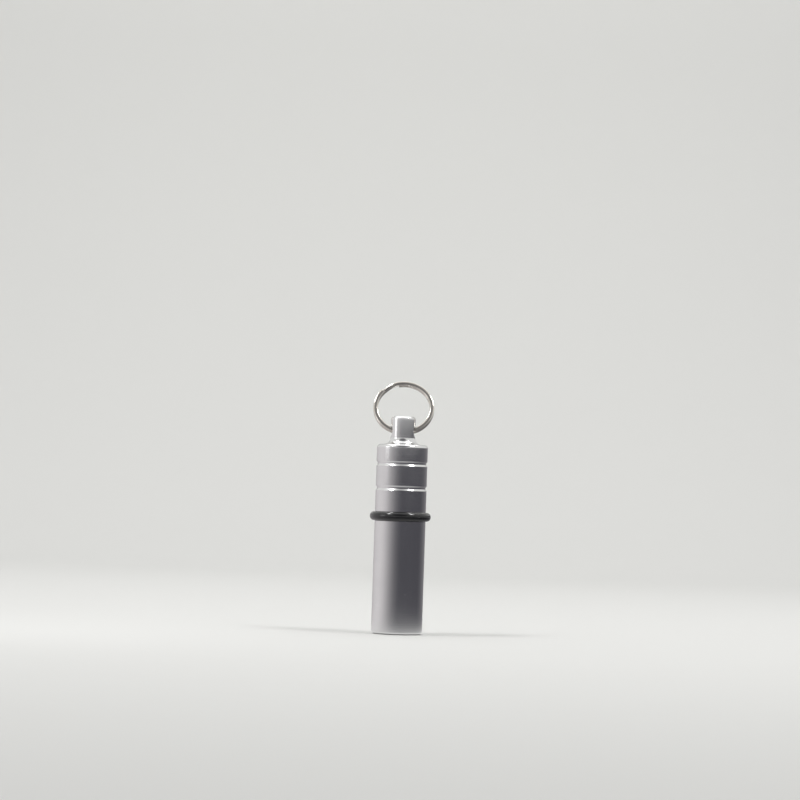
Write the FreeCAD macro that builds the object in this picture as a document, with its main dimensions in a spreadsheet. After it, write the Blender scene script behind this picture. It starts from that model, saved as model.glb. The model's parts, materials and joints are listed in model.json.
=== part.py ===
import FreeCAD, Part
import math
import os
import Sketcher

# Pill fob keychain: a turned vial with a screw cap, a seal ring and a split key ring.
# Origin at the centre of the vial's base, +Z up the axis, the photographed side facing -Y.

# Driving dimensions in millimetres and degrees: name, value, what it is
DIMENSIONS = (
    ("body_diameter", 9.5, "outside of vial and cap"),
    ("vial_length", 21.0, "base to shoulder"),
    ("base_edge", 0.35, "chamfer round the base"),
    ("shoulder_edge", 0.12, "chamfer round the shoulder"),
    ("shoulder_width", 0.75, "shoulder outside the neck thread"),
    ("neck_length", 5.4, "shoulder to the top of the neck"),
    ("neck_wall", 0.59, "metal between the neck's undercut and the bore"),
    ("mouth_edge", 0.15, "chamfer inside the neck's mouth"),
    ("floor_thickness", 1.2, "metal under the drill point"),
    ("drill_angle", 118.0, "point angle of the drilled bores"),
    ("thread_pitch", 0.75, "rise per turn"),
    ("thread_depth_share", 0.48, "crest to root, as a share of the pitch"),
    ("thread_crest_share", 0.125, "flat on the crest, as a share of the pitch"),
    ("thread_angle", 60.0, "angle between the flanks"),
    ("thread_play", 0.08, "clearance of the screw thread"),
    ("thread_over", 0.05, "thread cutter past the surface it cuts"),
    ("thread_runout", 0.05, "undercut and relief longer than one pitch"),
    ("runout_depth", 0.05, "undercut and relief below the thread root"),
    ("seal_section", 1.6, "thickness of the seal ring"),
    ("seal_play", 0.04, "clearance round the seal ring"),
    ("seat_step", 0.075, "seal seat outside the neck thread"),
    ("seat_short", 0.18, "seal seat below the cap's rim"),
    ("cap_height", 12.6, "rim to top"),
    ("cap_edge", 0.65, "rounding of the cap's top edge"),
    ("rim_edge", 0.1, "chamfer round the cap's rim"),
    ("cap_mouth", 0.45, "countersink of the cap's thread"),
    ("neck_room", 0.25, "relief in the cap past the neck's top"),
    ("crown_thickness", 2.4, "metal above the drill point in the cap"),
    ("band_first", 3.6, "cap top to the middle of the upper groove"),
    ("band_spacing", 4.55, "upper groove to lower groove"),
    ("band_width", 0.3, "width of a groove's floor"),
    ("band_depth", 0.22, "depth of a groove"),
    ("band_flank", 0.3, "run of a groove's sloped sides along the cap"),
    ("post_diameter", 4.6, "post on the cap"),
    ("post_foot", 1.25, "fillet at the post's foot"),
    ("post_crown", 1.55, "metal above the eye"),
    ("post_edge", 0.3, "chamfer round the post's top"),
    ("eye_rise", 0.15, "metal between the foot's fillet and the eye"),
    ("eye_play", 0.19, "clearance of the ring's wire in the eye"),
    ("eye_edge", 0.12, "rounding of the eye's edges"),
    ("ring_diameter", 10.6, "split ring to the middle of its wire"),
    ("wire_width", 0.85, "wire across the ring's plane"),
    ("wire_thickness", 0.4, "wire along the ring's axis"),
    ("wire_edge", 0.1, "rounding of the wire's edges"),
    ("turn_gap", 0.42, "gap between the ring's two turns"),
    ("step_angle", 36.0, "arc in which the wire steps from turn to turn"),
    ("step_place", 120.0, "middle of that step, from +X towards the top"),
    ("ring_lean", 30.0, "lean of the ring, back from upright"),
)

# Sizes worked out from the driving ones, so that the pieces fit: name, formula
FITS = (
    ("body_radius", "Dims.body_diameter / 2"),
    ("thread_depth", "Dims.thread_depth_share * Dims.thread_pitch"),
    ("thread_crest", "Dims.thread_crest_share * Dims.thread_pitch"),
    ("thread_radius", "body_radius - Dims.shoulder_width"),
    ("root_radius", "thread_radius - thread_depth"),
    ("runout_length", "Dims.thread_pitch + Dims.thread_runout"),
    ("undercut_radius", "root_radius - Dims.runout_depth"),
    ("bore_radius", "undercut_radius - Dims.neck_wall"),
    ("drill_point", "bore_radius / tan(Dims.drill_angle / 2)"),
    ("seat_radius", "thread_radius + Dims.seat_step"),
    ("seal_gap", "Dims.seal_section + 2 * Dims.seal_play"),
    ("seal_radius", "seat_radius + Dims.seal_play + Dims.seal_section / 2"),
    ("seal_middle", "Dims.vial_length + seal_gap / 2"),
    ("seat_top", "Dims.vial_length + seal_gap - Dims.seat_short"),
    ("undercut_top", "seat_top + runout_length"),
    ("neck_top", "Dims.vial_length + Dims.neck_length"),
    ("cap_rim", "Dims.vial_length + seal_gap"),
    ("cap_crest_radius", "root_radius + Dims.thread_play"),
    ("cap_root_radius", "thread_radius + Dims.thread_play"),
    ("cap_relief_radius", "cap_root_radius + Dims.runout_depth"),
    ("cap_relief_top", "Dims.neck_length - seal_gap + Dims.neck_room"),
    ("cap_thread_top", "cap_relief_top - runout_length"),
    ("cap_bore_top", "Dims.cap_height - Dims.crown_thickness"),
    # Half widths of the neck's groove: what one pitch leaves beside a ridge
    ("flank", "tan(Dims.thread_angle / 2)"),
    ("neck_cut_inner", "Dims.thread_pitch / 2 - thread_crest / 2 - thread_depth * flank"),
    ("neck_cut_outer", "neck_cut_inner + (thread_depth + Dims.thread_over) * flank"),
    # Half widths of the cap's groove: a ridge with play on its crest and on both flanks
    ("cap_cut_outer", "thread_crest / 2 + Dims.thread_play - Dims.thread_play * flank"),
    ("cap_cut_inner", "cap_cut_outer + (thread_depth + Dims.thread_over) * flank"),
    # Start of each cutter: in the neck's undercut, and below the cap's rim by whole pitches
    # from the neck's ridge, so that the two threads mesh
    ("neck_cut_start", "seat_top + runout_length / 2"),
    ("cap_cut_start", "neck_cut_start + Dims.thread_pitch / 2 - cap_rim - 3 * Dims.thread_pitch"),
    ("post_radius", "Dims.post_diameter / 2"),
    # The ring's wire bows inside the eye, from its outer side at the middle of the post to
    # its inner side at the post's flanks, and the eye's middle lies halfway
    ("ring_radius", "Dims.ring_diameter / 2"),
    ("wire_outside", "ring_radius + Dims.wire_width / 2"),
    ("wire_inside", "sqrt((ring_radius - Dims.wire_width / 2) ^ 2 - post_radius ^ 2)"),
    ("ring_centre", "(wire_outside + wire_inside) / 2"),
    ("turn_rise", "Dims.wire_thickness + Dims.turn_gap"),
    ("wire_reach", "sqrt((wire_outside - ring_centre) ^ 2 + (turn_rise / 2 + Dims.wire_thickness / 2) ^ 2)"),
    ("eye_radius", "wire_reach + Dims.eye_play"),
    ("eye_middle", "Dims.cap_height + Dims.post_foot + Dims.eye_rise + eye_radius"),
    ("post_top", "eye_middle + eye_radius + Dims.post_crown"),
    ("eye_height", "cap_rim + eye_middle"),
)

# Counts: grooves round the cap, arcs in a turn of the ring, and the samples on which the
# ring's gap to itself is measured, each against the few that lie one turn further on
BANDS = 2
ARCS_PER_TURN = 4
GAP_SAMPLES = 400
NEAR_SAMPLES = 6

QUARTER_TURN = 90

# Corner of the quadrant in which a sketch starts, before its constraints place it
SKETCH_START = FreeCAD.Vector(2, 2, 0)

doc = FreeCAD.newDocument("PillFob")


def make_sheets():
    """The sheet of driving dimensions, and the sheet of what follows from them."""
    dims = doc.addObject("Spreadsheet::Sheet", "Dims")
    for row, (name, value, meaning) in enumerate(DIMENSIONS, start=1):
        dims.set(f"A{row}", meaning)
        dims.set(f"B{row}", str(value))
        dims.setAlias(f"B{row}", name)
    doc.recompute()
    fits = doc.addObject("Spreadsheet::Sheet", "Fits")
    for row, (name, formula) in enumerate(FITS, start=1):
        fits.set(f"A{row}", name.replace("_", " "))
        fits.set(f"B{row}", f"={formula}")
        fits.setAlias(f"B{row}", name)
    doc.recompute()
    return dims, fits


def add_sketch(body, name, plane):
    sketch = body.newObject("Sketcher::SketchObject", name)
    support = next(item for item in body.Origin.OriginFeatures if item.Role == plane)
    sketch.AttachmentSupport = [(support, "")]
    sketch.MapMode = "FlatFace"
    return sketch


def pin_point(sketch, line, point, across, up):
    """Hold a line's end or a circle's centre at two sheet expressions, of which "0" is on the axis."""
    h_axis, v_axis = -1, -2
    for kind, axis, expression in (("DistanceX", v_axis, across), ("DistanceY", h_axis, up)):
        if expression == "0":
            sketch.addConstraint(Sketcher.Constraint("PointOnObject", line, point, axis))
            continue
        place = sketch.getPoint(line, point)
        now = place.x if kind == "DistanceX" else place.y
        index = sketch.addConstraint(Sketcher.Constraint(kind, -1, 1, line, point, now))
        sketch.setExpression(f"Constraints[{index}]", expression)


def add_outline(body, name, points):
    """Closed outline on the body's XZ plane, with straight sides through (radius, height) expressions."""
    sketch = add_sketch(body, name, "XZ_Plane")
    count = len(points)
    turn = 2 * math.pi / count
    # A rough polygon, which the constraints then pull to its places
    spokes = [FreeCAD.Vector(math.cos(i * turn), math.sin(i * turn), 0) for i in range(count)]
    corners = [SKETCH_START + spoke for spoke in spokes]
    for i in range(count):
        sketch.addGeometry(Part.LineSegment(corners[i], corners[(i + 1) % count]), False)
    for i in range(count):
        sketch.addConstraint(Sketcher.Constraint("Coincident", i, 2, (i + 1) % count, 1))
    for i, (radius, height) in enumerate(points):
        pin_point(sketch, i, 1, radius, height)
    return sketch


def turn_outline(body, name, sketch):
    turned = body.newObject("PartDesign::Revolution", name)
    turned.Profile = sketch
    turned.ReferenceAxis = (sketch, ["V_Axis"])
    turned.Angle = 360
    doc.recompute()


def need_less(feature, before):
    """A cut that points away from the solid removes nothing, so its volume is compared."""
    if not feature.Shape.Volume < before:
        raise RuntimeError(f"{feature.Label} removes nothing")


def cut_thread(body, name, sketch, height):
    """A right-hand thread groove, cut by the sketched form from its place up to a height."""
    before = body.Shape.Volume
    thread = body.newObject("PartDesign::SubtractiveHelix", name)
    thread.Profile = sketch
    thread.ReferenceAxis = (sketch, ["V_Axis"])
    thread.Mode = "pitch-height-angle"
    thread.setExpression("Pitch", "Dims.thread_pitch")
    thread.setExpression("Height", height)
    doc.recompute()
    need_less(thread, before)


def round_edges(body, name, test, radius):
    """Fillet of every edge of the body that passes a test."""
    base = body.Tip
    edges = [f"Edge{i}" for i, edge in enumerate(base.Shape.Edges, start=1) if test(edge)]
    if not edges:
        raise RuntimeError(f"{name} finds no edge")
    fillet = body.newObject("PartDesign::Fillet", name)
    fillet.Base = (base, edges)
    fillet.setExpression("Radius", radius)
    doc.recompute()


def near(a, b):
    return abs(a - b) < 1e-3


# Vial

def make_vial():
    body = doc.addObject("PartDesign::Body", "vial")
    outline = add_outline(body, "vial_outline", (
        ("0", "0"),
        ("Fits.body_radius - Dims.base_edge", "0"),
        ("Fits.body_radius", "Dims.base_edge"),
        ("Fits.body_radius", "Dims.vial_length - Dims.shoulder_edge"),
        ("Fits.body_radius - Dims.shoulder_edge", "Dims.vial_length"),
        ("Fits.seat_radius", "Dims.vial_length"),
        ("Fits.seat_radius", "Fits.seat_top"),
        ("Fits.undercut_radius", "Fits.seat_top"),
        ("Fits.undercut_radius", "Fits.undercut_top"),
        ("Fits.thread_radius", "Fits.undercut_top + Fits.thread_depth"),
        ("Fits.thread_radius", "Fits.neck_top - Fits.thread_depth"),
        ("Fits.root_radius", "Fits.neck_top"),
        ("Fits.bore_radius + Dims.mouth_edge", "Fits.neck_top"),
        ("Fits.bore_radius", "Fits.neck_top - Dims.mouth_edge"),
        ("Fits.bore_radius", "Dims.floor_thickness + Fits.drill_point"),
        ("0", "Dims.floor_thickness"),
    ))
    turn_outline(body, "vial_turned", outline)
    form = add_outline(body, "neck_thread_form", (
        ("Fits.root_radius", "Fits.neck_cut_start - Fits.neck_cut_inner"),
        ("Fits.thread_radius + Dims.thread_over", "Fits.neck_cut_start - Fits.neck_cut_outer"),
        ("Fits.thread_radius + Dims.thread_over", "Fits.neck_cut_start + Fits.neck_cut_outer"),
        ("Fits.root_radius", "Fits.neck_cut_start + Fits.neck_cut_inner"),
    ))
    cut_thread(body, "neck_thread", form, "Fits.neck_top + Dims.thread_pitch - Fits.neck_cut_start")
    return body


# Cap with its post

def band_points(number):
    """One groove round the cap, from its lower lip to its upper lip."""
    middle = f"Dims.cap_height - Dims.band_first - {number} * Dims.band_spacing"
    low = f"{middle} - Dims.band_width / 2"
    high = f"{middle} + Dims.band_width / 2"
    return [
        ("Fits.body_radius", f"{low} - Dims.band_flank"),
        ("Fits.body_radius - Dims.band_depth", low),
        ("Fits.body_radius - Dims.band_depth", high),
        ("Fits.body_radius", f"{high} + Dims.band_flank"),
    ]


def cap_points():
    points = [
        ("Fits.cap_crest_radius + Dims.cap_mouth", "0"),
        ("Fits.body_radius - Dims.rim_edge", "0"),
        ("Fits.body_radius", "Dims.rim_edge"),
    ]
    for number in reversed(range(BANDS)):
        points += band_points(number)
    points += [
        ("Fits.body_radius", "Dims.cap_height"),
        ("Fits.post_radius", "Dims.cap_height"),
        ("Fits.post_radius", "Fits.post_top - Dims.post_edge"),
        ("Fits.post_radius - Dims.post_edge", "Fits.post_top"),
        ("0", "Fits.post_top"),
        ("0", "Fits.cap_bore_top"),
        ("Fits.bore_radius", "Fits.cap_bore_top - Fits.drill_point"),
        ("Fits.bore_radius", "Fits.cap_relief_top"),
        ("Fits.cap_relief_radius", "Fits.cap_relief_top"),
        ("Fits.cap_relief_radius", "Fits.cap_thread_top"),
        ("Fits.cap_crest_radius", "Fits.cap_thread_top"),
        ("Fits.cap_crest_radius", "Dims.cap_mouth"),
    ]
    return points


def cut_eye(body):
    sketch = add_sketch(body, "eye_outline", "YZ_Plane")
    circle = Part.Circle(FreeCAD.Vector(0, 1, 0), FreeCAD.Vector(0, 0, 1), 1)
    sketch.addGeometry(circle, False)
    pin_point(sketch, 0, 3, "0", "Fits.eye_middle")
    index = sketch.addConstraint(Sketcher.Constraint("Radius", 0, circle.Radius))
    sketch.setExpression(f"Constraints[{index}]", "Fits.eye_radius")
    before = body.Shape.Volume
    eye = body.newObject("PartDesign::Pocket", "eye")
    eye.Profile = sketch
    eye.Type = "Length"
    eye.SideType = "Symmetric"
    eye.setExpression("Length", "2 * Dims.post_diameter")
    doc.recompute()
    need_less(eye, before)


def make_cap(dims, fits):
    """The cap in its own frame, with its rim at zero, then placed on the seal ring."""
    body = doc.addObject("PartDesign::Body", "cap")
    turn_outline(body, "cap_turned", add_outline(body, "cap_outline", cap_points()))

    def on_top(edge):
        return near(edge.BoundBox.ZMin, dims.cap_height) and near(edge.BoundBox.ZMax, dims.cap_height)

    def at_foot(edge):
        return on_top(edge) and near(edge.Curve.Radius, fits.post_radius)

    def at_rim(edge):
        return on_top(edge) and near(edge.Curve.Radius, fits.body_radius)

    def at_eye(edge):
        box = edge.BoundBox
        return near(box.Center.z, fits.eye_middle) and near(box.YLength, 2 * fits.eye_radius)

    round_edges(body, "post_foot", at_foot, "Dims.post_foot")
    round_edges(body, "cap_edge", at_rim, "Dims.cap_edge")
    cut_eye(body)
    round_edges(body, "eye_edge", at_eye, "Dims.eye_edge")
    form = add_outline(body, "cap_thread_form", (
        ("Fits.cap_crest_radius - Dims.thread_over", "Fits.cap_cut_start - Fits.cap_cut_inner"),
        ("Fits.cap_root_radius", "Fits.cap_cut_start - Fits.cap_cut_outer"),
        ("Fits.cap_root_radius", "Fits.cap_cut_start + Fits.cap_cut_outer"),
        ("Fits.cap_crest_radius - Dims.thread_over", "Fits.cap_cut_start + Fits.cap_cut_inner"),
    ))
    cut_thread(body, "cap_thread", form, "Fits.cap_thread_top + Fits.runout_length / 2 - Fits.cap_cut_start")
    body.setExpression("Placement.Base.z", "Fits.cap_rim")
    return body


# Seal ring

def make_seal_ring():
    seal = doc.addObject("Part::Torus", "seal_ring")
    seal.setExpression("Radius1", "Fits.seal_radius")
    seal.setExpression("Radius2", "Dims.seal_section / 2")
    seal.setExpression("Placement.Base.z", "Fits.seal_middle")
    return seal


# Split ring, in its own frame: upright in XZ, with the middle of the eye at the origin

def ring_point(fits, degrees, along):
    """A point of the wire's centre line at an angle round the ring."""
    angle = math.radians(degrees)
    across = fits.ring_radius * math.cos(angle)
    up = fits.ring_centre + fits.ring_radius * math.sin(angle)
    return FreeCAD.Vector(across, along, up)


def ring_tangent(degrees):
    angle = math.radians(degrees)
    return FreeCAD.Vector(-math.sin(angle), 0, math.cos(angle))


def arc_from_corner(start, corner, end):
    """The arc that touches start-corner and corner-end, two lengths that are equal."""
    middle = (start + end) * 0.5
    bend = (corner - start).getAngle(end - corner)
    radius = (corner - start).Length / math.tan(bend / 2)
    rise = radius * (1 - math.cos(bend / 2))
    top = middle + (corner - middle).normalize() * rise
    return Part.Arc(start, top, end).toShape()


def biarc(start, start_tangent, end, end_tangent):
    """Two arcs that join two points along given unit tangents."""
    across = end - start
    ahead = across.dot(start_tangent + end_tangent)
    spread = 2 * (1 - start_tangent.dot(end_tangent))
    reach = (math.sqrt(ahead**2 + spread * across.dot(across)) - ahead) / spread
    first = start + start_tangent * reach
    second = end - end_tangent * reach
    joint = (first + second) * 0.5
    return [arc_from_corner(start, first, joint), arc_from_corner(joint, second, end)]


def ring_path(dims, fits):
    """Two flat turns and the step between them, as arcs; the wire starts and ends beside the step."""
    first = dims.step_place + dims.step_angle / 2
    sweep = 360 - dims.step_angle
    span = sweep / ARCS_PER_TURN
    front, back = -fits.turn_rise / 2, fits.turn_rise / 2

    def flat_turn(along):
        arcs = []
        for i in range(ARCS_PER_TURN):
            angles = [first + span * (i + part) for part in (0, 0.5, 1)]
            arcs.append(Part.Arc(*[ring_point(fits, angle, along) for angle in angles]).toShape())
        return arcs

    step = biarc(
        ring_point(fits, first + sweep, front), ring_tangent(first + sweep),
        ring_point(fits, first, back), ring_tangent(first),
    )
    return Part.Wire(flat_turn(front) + step + flat_turn(back))


def ring_section(dims, fits):
    """The wire's section at the path's start: a rectangle with rounded corners."""
    start = dims.step_place + dims.step_angle / 2
    middle = ring_point(fits, start, -fits.turn_rise / 2)
    outward = ring_tangent(start - QUARTER_TURN)
    along = FreeCAD.Vector(0, 1, 0)
    half_width = dims.wire_width / 2
    half_thickness = dims.wire_thickness / 2
    inset = dims.wire_edge * (1 - math.sqrt(0.5))

    def at(u, v):
        return middle + outward * u + along * v

    corners = []
    for u, v in ((1, 1), (-1, 1), (-1, -1), (1, -1)):
        on_flat = at(u * (half_width - dims.wire_edge), v * half_thickness)
        on_side = at(u * half_width, v * (half_thickness - dims.wire_edge))
        tip = at(u * (half_width - inset), v * (half_thickness - inset))
        corners.append((on_side, tip, on_flat) if u * v > 0 else (on_flat, tip, on_side))
    edges = []
    for i, corner in enumerate(corners):
        edges.append(Part.Arc(*corner).toShape())
        edges.append(Part.LineSegment(corner[2], corners[(i + 1) % len(corners)][0]).toShape())
    return Part.Wire(edges)


def print_ring_gap(dims, fits, path):
    """The least gap of the wire to itself, between section corners that lie about a turn apart."""
    centres = path.discretize(Number=GAP_SAMPLES)
    turn = round((GAP_SAMPLES - 1) * 2 * math.pi * fits.ring_radius / path.Length)

    def corners(centre):
        outward = FreeCAD.Vector(centre.x, 0, centre.z - fits.ring_centre).normalize()
        width = outward * (dims.wire_width / 2)
        along = FreeCAD.Vector(0, dims.wire_thickness / 2, 0)
        return [centre + width * u + along * v for u in (-1, 1) for v in (-1, 1)]

    least = math.inf
    for i, centre in enumerate(centres):
        for other in centres[max(i + turn - NEAR_SAMPLES, 0):i + turn + NEAR_SAMPLES + 1]:
            least = min(least, *[(a - b).Length for a in corners(centre) for b in corners(other)])
    print(f"split ring: least gap of the wire to itself {least:.3f} mm")


def make_split_ring(dims, fits):
    path = doc.addObject("Part::Feature", "ring_path")
    path.Shape = ring_path(dims, fits)
    section = doc.addObject("Part::Feature", "ring_section")
    section.Shape = ring_section(dims, fits)
    ring = doc.addObject("Part::Sweep", "split_ring")
    ring.Spine = (path, [])
    ring.Sections = [section]
    ring.Solid = True
    ring.Frenet = False
    ring.Placement.Rotation.Axis = FreeCAD.Vector(1, 0, 0)
    ring.setExpression("Placement.Base.z", "Fits.eye_height")
    ring.setExpression("Placement.Rotation.Angle", "-Dims.ring_lean")
    print_ring_gap(dims, fits, path.Shape)
    return ring


def check(parts):
    for item in doc.Objects:
        if "Invalid" in item.State or "Error" in item.State:
            raise RuntimeError(f"{item.Label} failed: {item.State}")
    for part in parts:
        shape = part.Shape
        if shape.isNull() or not shape.isValid() or len(shape.Solids) != 1:
            raise RuntimeError(f"{part.Label} isn't one valid solid")


def main():
    dims, fits = make_sheets()
    parts = [make_vial(), make_cap(dims, fits), make_seal_ring(), make_split_ring(dims, fits)]
    doc.recompute()
    check(parts)
    os.makedirs("parts", exist_ok=True)
    for part in parts:
        part.Shape.exportStep(f"parts/{part.Label}.step")
        print(f"{part.Label}: {part.Shape.Volume:.2f} mm3")


main()
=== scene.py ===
import json
import math

import bpy
from mathutils import Matrix, Vector


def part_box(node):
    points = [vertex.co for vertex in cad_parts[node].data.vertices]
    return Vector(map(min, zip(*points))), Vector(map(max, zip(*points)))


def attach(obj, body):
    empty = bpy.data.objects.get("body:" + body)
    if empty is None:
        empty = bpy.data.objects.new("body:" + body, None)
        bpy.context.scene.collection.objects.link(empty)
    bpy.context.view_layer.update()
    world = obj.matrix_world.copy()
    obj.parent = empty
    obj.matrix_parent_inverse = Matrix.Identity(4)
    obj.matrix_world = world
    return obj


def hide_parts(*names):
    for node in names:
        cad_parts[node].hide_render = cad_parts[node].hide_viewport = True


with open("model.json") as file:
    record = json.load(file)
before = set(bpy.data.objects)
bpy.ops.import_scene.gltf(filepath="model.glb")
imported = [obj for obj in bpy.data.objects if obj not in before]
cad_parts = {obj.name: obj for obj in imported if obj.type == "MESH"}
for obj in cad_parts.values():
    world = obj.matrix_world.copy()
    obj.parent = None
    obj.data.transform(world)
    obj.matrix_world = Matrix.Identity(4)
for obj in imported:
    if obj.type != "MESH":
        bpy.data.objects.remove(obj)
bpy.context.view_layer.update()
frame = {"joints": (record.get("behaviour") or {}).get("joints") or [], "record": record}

bl_info = {
    "name": "Pill Fob Keychain",
    "version": (1, 0, 0),
    "blender": (4, 5, 0),
    "location": "View3D > Sidebar > Pill Fob",
    "description": "A turned aluminium pill fob with a screw cap, a rubber seal ring and a split key ring",
    "category": "Object",
}

MM = 0.001
IMAGE_SIDE = 800
VIAL_LOW, VIAL_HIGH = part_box("vial")
CAP_LOW, CAP_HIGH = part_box("cap")
SEAL_LOW, SEAL_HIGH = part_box("seal_ring")
SWING = next(joint for joint in frame["joints"] if joint["name"] == "ring_swing")
EYE_MIDDLE = Vector(SWING["pos_m"])
KEY_LOOP = next(mount for mount in frame["record"]["mounts"] if mount["name"] == "key_loop")


# Settings

def linear(hex_colour):
    """An sRGB hex colour as linear red, green, blue and alpha."""
    shares = [int(hex_colour[i:i + 2], 16) / 255 for i in (0, 2, 4)]
    return [s / 12.92 if s <= 0.04045 else ((s + 0.055) / 1.055) ** 2.4 for s in shares] + [1.0]


def length(name, description, default):
    """A size or distance, in metres."""
    return bpy.props.FloatProperty(
        name=name, description=description, default=default, min=0.0, precision=5,
        subtype="DISTANCE", unit="LENGTH",
    )


def place(name, description, default):
    """A point, in metres."""
    return bpy.props.FloatVectorProperty(
        name=name, description=description, default=default, precision=5,
        subtype="TRANSLATION", unit="LENGTH",
    )


def angle(name, description, degrees):
    """An angle, given in degrees and kept in radians."""
    return bpy.props.FloatProperty(
        name=name, description=description, default=math.radians(degrees),
        subtype="ANGLE", unit="ROTATION",
    )


def direction(name, description, default):
    """A direction, about one unit long."""
    return bpy.props.FloatVectorProperty(
        name=name, description=description, default=default, subtype="DIRECTION",
    )


def colour(name, description, hex_colour):
    """A colour, given as sRGB hex and kept as linear."""
    return bpy.props.FloatVectorProperty(
        name=name, description=description, default=linear(hex_colour), size=4,
        min=0.0, max=1.0, subtype="COLOR",
    )


class PILLFOB_PG_thread(bpy.types.PropertyGroup):
    """The screw thread that the neck and the cap share."""

    pitch: length("Pitch", "Rise of the thread in one turn", 0.75 * MM)
    depth: length("Depth", "Crest to root", 0.36 * MM)
    crest: length("Crest", "Flat on a ridge's crest", 0.094 * MM)
    play: length("Play", "Clearance between the two threads", 0.08 * MM)
    over: length("Overcut", "How far a thread cutter reaches past the surface it cuts", 0.05 * MM)
    flank: angle("Flank", "Slope of a ridge's side", 30)


class PILLFOB_PG_vial(bpy.types.PropertyGroup):
    """The vial, from its base to the top of its neck."""

    radius: length("Radius", "Outside of the vial", VIAL_HIGH.x)
    neck_top: length("Neck top", "Height of the neck's mouth", VIAL_HIGH.z)
    shoulder: length("Shoulder", "Height of the shoulder under the seal ring", 21.0 * MM)
    base_edge: length("Base edge", "Chamfer round the base", 0.35 * MM)
    shoulder_edge: length("Shoulder edge", "Rounding of the shoulder's edge", 0.08 * MM)
    seat_radius: length("Seat radius", "Radius of the seat inside the seal ring", 4.075 * MM)
    seat_top: length("Seat top", "Height of the seat's upper end", 22.5 * MM)
    undercut_radius: length("Undercut radius", "Radius where the thread runs out", 3.59 * MM)
    undercut_height: length("Undercut height", "Height of the thread's run-out", 0.8 * MM)
    thread_radius: length("Thread radius", "Outside of the neck's thread", 4.0 * MM)
    bore_radius: length("Bore radius", "Radius of the drilled bore", 3.0 * MM)
    drill_point: length("Drill point", "Height of the cone that the drill leaves", 1.8 * MM)
    floor: length("Floor", "Metal under the drill point", 1.2 * MM)
    mouth_edge: length("Mouth edge", "Chamfer inside the mouth", 0.15 * MM)
    broken_edge: length("Broken edge", "Rounding of the chamfers' corners", 0.07 * MM)


class PILLFOB_PG_cap(bpy.types.PropertyGroup):
    """The cap with its grooves and its cross-drilled post."""

    radius: length("Radius", "Outside of the cap", CAP_HIGH.x)
    rim: length("Rim", "Height of the cap's rim", CAP_LOW.z)
    post_top: length("Post top", "Height of the post's top", CAP_HIGH.z)
    top: length("Top", "Height of the cap's flat top", 35.28 * MM)
    top_edge: length("Top edge", "Rounding of the cap's top edge", 0.65 * MM)
    rim_edge: length("Rim edge", "Rounding of the rim's edge", 0.07 * MM)
    groove_first: length("First groove", "Cap top to the middle of the upper groove", 3.6 * MM)
    groove_spacing: length("Groove spacing", "Upper groove to lower groove", 4.55 * MM)
    groove_width: length("Groove width", "Width of a groove's floor", 0.3 * MM)
    groove_depth: length("Groove depth", "Depth of a groove", 0.22 * MM)
    groove_flank: length("Groove flank", "Run of a groove's sloped sides along the cap", 0.3 * MM)
    groove_edge: length("Groove edge", "Rounding of a groove's corners", 0.04 * MM)
    post_radius: length("Post radius", "Radius of the post", 2.3 * MM)
    post_foot: length("Post foot", "Fillet at the foot of the post", 1.25 * MM)
    post_edge: length("Post edge", "Chamfer round the post's top", 0.3 * MM)
    eye_radius: length("Eye radius", "Radius of the cross hole", 1.1286 * MM)
    eye_edge: length("Eye edge", "Rounding of the cross hole's edges", 0.12 * MM)
    crest_radius: length("Crest radius", "Inside of the cap's thread", 3.72 * MM)
    relief_radius: length("Relief radius", "Radius of the relief past the thread", 4.13 * MM)
    relief_top: length("Relief top", "Height of the relief's end", 26.65 * MM)
    relief_height: length("Relief height", "Length of the relief", 0.8 * MM)
    mouth: length("Mouth", "Countersink of the cap's thread", 0.45 * MM)
    bore_tip: length("Bore tip", "Height of the drill point inside the cap", 32.88 * MM)
    broken_edge: length("Broken edge", "Rounding of the corners of the post's chamfer", 0.05 * MM)


class PILLFOB_PG_seal(bpy.types.PropertyGroup):
    """The seal ring between cap and shoulder."""

    outside: length("Outside", "Outer radius of the seal ring", SEAL_HIGH.x)
    middle: length("Middle", "Height of the seal ring's middle", (SEAL_LOW.z + SEAL_HIGH.z) / 2)
    height: length("Height", "Thickness of the ring from rim to shoulder", 1.65 * MM)
    width: length("Width", "Thickness of the ring across", 1.6 * MM)
    flash_width: length("Flash width", "Width of the mould line", 0.1 * MM)
    flash_height: length("Flash height", "How far the mould line stands proud", 0.025 * MM)


class PILLFOB_PG_ring(bpy.types.PropertyGroup):
    """The split key ring, wound from flat wire in two turns."""

    radius: length("Radius", "Ring to the middle of its wire", 5.3 * MM)
    wire_width: length("Wire width", "Wire across the ring's plane", 0.85 * MM)
    wire_thickness: length("Wire thickness", "Wire along the ring's axis", 0.52 * MM)
    wire_edge: length("Wire edge", "Rounding of the wire's edges", 0.22 * MM)
    end_edge: length("End edge", "Rounding of the wire's cut ends", 0.05 * MM)
    turn_gap: length("Turn gap", "Gap between the two turns", 0.03 * MM)
    centre: place("Centre", "Middle of the ring", KEY_LOOP["pos_m"])
    lean: angle("Lean", "Lean of the ring, back from upright", 30)
    step_place: angle("Step place", "Middle of the step, from +X towards the top", 120)
    step_arc: angle("Step arc", "Arc in which the wire steps from turn to turn", 36)


class PILLFOB_PG_finish(bpy.types.PropertyGroup):
    """Colours of the finishes."""

    metal: colour("Aluminium", "Bare turned aluminium", "E4E4E4")
    metal_dull: colour("Handled aluminium", "Aluminium where it is dulled by handling", "D6D6D7")
    rubber: colour("Rubber", "Black nitrile rubber", "0F0F10")
    rubber_bloom: colour("Rubber bloom", "Grey bloom on the rubber", "222224")
    nickel: colour("Nickel", "Bright nickel plate", "DDD9D3")
    nickel_dull: colour("Rubbed nickel", "Nickel plate where the turns rub", "C2BDB6")


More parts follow.
